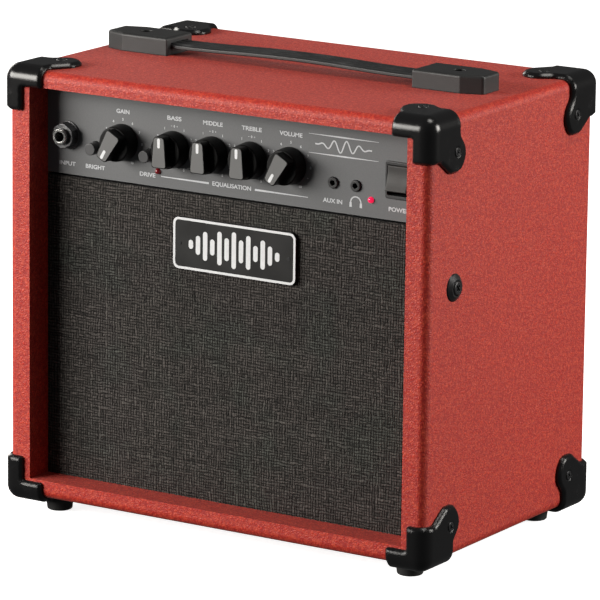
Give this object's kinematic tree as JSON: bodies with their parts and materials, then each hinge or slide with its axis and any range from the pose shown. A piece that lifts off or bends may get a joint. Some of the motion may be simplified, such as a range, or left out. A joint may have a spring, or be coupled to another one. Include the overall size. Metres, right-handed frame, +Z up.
{
  "type": "guitar amplifier",
  "caption": "Small guitar combo amplifier in a vinyl-covered cabinet with a recessed grille and control panel, turning knobs, push buttons, a rocker switch and a carrying handle.",
  "frame": {"origin": "middle of the surface it stands on, under the middle of the cabinet", "axes": "+X to the right seen from the front, +Y from the front to the back, +Z up"},
  "size_m": [0.3278, 0.2128, 0.31],
  "materials": {
    "board": "bare particle board and fibreboard",
    "red_vinyl": "grained red vinyl leathercloth with a soft sheen",
    "corner_plastic": "glossy moulded black",
    "black_steel": "blackened steel",
    "rubber": "matt black",
    "handle_plastic": "fine moulded texture",
    "handle_rubber": "ribbed, soft matt",
    "cloth": "black and grey basket weave",
    "badge_plastic": "satin black with a white printed border",
    "panel_paint": "fine-textured grey",
    "chassis_steel": "zinc plated",
    "knob_plastic": "satin black",
    "bare_steel": "bright",
    "button_plastic": "satin black",
    "switch_plastic": "moulded black",
    "rocker_plastic": "satin black",
    "jack_chrome": "polished",
    "dark_nickel": "black nickel",
    "tin_pins": "nickel plated",
    "red_lens_lit": "lit red lens",
    "red_lens": "red lens",
    "circuit": "green solder mask",
    "can_sleeve": "dark blue sleeve",
    "raw_aluminium": "extruded",
    "coil_tape": "yellow tape",
    "basket_paint": "black",
    "ferrite": "pressed ferrite",
    "cone_paper": "black pulp",
    "suspension_cloth": "treated cloth"
  },
  "bodies": {
    "cabinet": {"badge": "badge_plastic", "baffle_board": "board", "board_bottom": "board", "board_left": "board", "board_right": "board", "board_top": "board", "cabinet_bolts": "black_steel", "capacitors": "can_sleeve", "chassis_tray": "chassis_steel", "circuit_board": "circuit", "control_panel": "panel_paint", "corner_protectors_front": "corner_plastic", "corner_protectors_rear": "corner_plastic", "corner_screws": "black_steel", "cup_washers": "black_steel", "grille_cloth": "cloth", "handle_cap_left": "handle_plastic", "handle_cap_right": "handle_plastic", "handle_strap": "handle_rubber", "heat_sink": "raw_aluminium", "inlet_pins": "tin_pins", "inlet_plate": "black_steel", "input_jack_body": "switch_plastic", "input_jack_bush": "jack_chrome", "input_jack_nut": "dark_nickel", "led_drive": "red_lens", "led_power": "red_lens_lit", "mains_inlet": "switch_plastic", "mini_jacks": "switch_plastic", "pot_housings": "dark_nickel", "pot_nuts": "dark_nickel", "push_switches": "switch_plastic", "rear_battens": "board", "rear_board": "board", "rocker_housing": "switch_plastic", "rubber_feet": "rubber", "speaker_baskets": "basket_paint", "speaker_magnets": "ferrite", "speaker_yokes": "bare_steel", "suspension_left": "suspension_cloth", "suspension_right": "suspension_cloth", "transformer_coil": "coil_tape", "transformer_core": "bare_steel", "vinyl_cover": "red_vinyl", "wood_screws": "black_steel"},
    "gain_knob": {"knob_gain": "knob_plastic", "shaft_gain": "bare_steel"},
    "bass_knob": {"knob_bass": "knob_plastic", "shaft_bass": "bare_steel"},
    "middle_knob": {"knob_middle": "knob_plastic", "shaft_middle": "bare_steel"},
    "treble_knob": {"knob_treble": "knob_plastic", "shaft_treble": "bare_steel"},
    "volume_knob": {"knob_volume": "knob_plastic", "shaft_volume": "bare_steel"},
    "bright_button": {"button_bright": "button_plastic"},
    "drive_button": {"button_drive": "button_plastic"},
    "power_switch": {"power_rocker": "rocker_plastic"},
    "left_cone": {"cone_left": "cone_paper"},
    "right_cone": {"cone_right": "cone_paper"}
  },
  "joints": [
    {"name": "gain_turn", "type": "hinge", "parent": "cabinet", "child": "gain_knob", "pos_m": [-0.084, -0.0822, 0.2542], "axis": [0, 1, 0], "range_deg": [0, 300]},
    {"name": "bass_turn", "type": "hinge", "parent": "cabinet", "child": "bass_knob", "pos_m": [-0.044, -0.0822, 0.2542], "axis": [0, 1, 0], "range_deg": [-150, 150]},
    {"name": "middle_turn", "type": "hinge", "parent": "cabinet", "child": "middle_knob", "pos_m": [-0.0144, -0.0822, 0.2542], "axis": [0, 1, 0], "range_deg": [-150, 150]},
    {"name": "treble_turn", "type": "hinge", "parent": "cabinet", "child": "treble_knob", "pos_m": [0.0152, -0.0822, 0.2542], "axis": [0, 1, 0], "range_deg": [-150, 150]},
    {"name": "volume_turn", "type": "hinge", "parent": "cabinet", "child": "volume_knob", "pos_m": [0.0448, -0.0822, 0.2542], "axis": [0, 1, 0], "range_deg": [0, 300]},
    {"name": "bright_press", "type": "slide", "parent": "cabinet", "child": "bright_button", "axis": [0, 1, 0], "range_m": [0, 0.0025], "stiffness_N_per_m": 300},
    {"name": "drive_press", "type": "slide", "parent": "cabinet", "child": "drive_button", "axis": [0, 1, 0], "range_m": [0, 0.0025], "stiffness_N_per_m": 300},
    {"name": "power_rock", "type": "hinge", "parent": "cabinet", "child": "power_switch", "pos_m": [0.1255, -0.0787, 0.254], "axis": [1, 0, 0], "range_deg": [0, 24]},
    {"name": "left_cone_drive", "type": "slide", "parent": "cabinet", "child": "left_cone", "axis": [0, 1, 0], "range_m": [-0.003, 0.003], "stiffness_N_per_m": 1200, "deforming": ["suspension_left"]},
    {"name": "right_cone_drive", "type": "slide", "parent": "cabinet", "child": "right_cone", "axis": [0, 1, 0], "range_m": [-0.003, 0.003], "stiffness_N_per_m": 1200, "deforming": ["suspension_right"]}
  ]
}
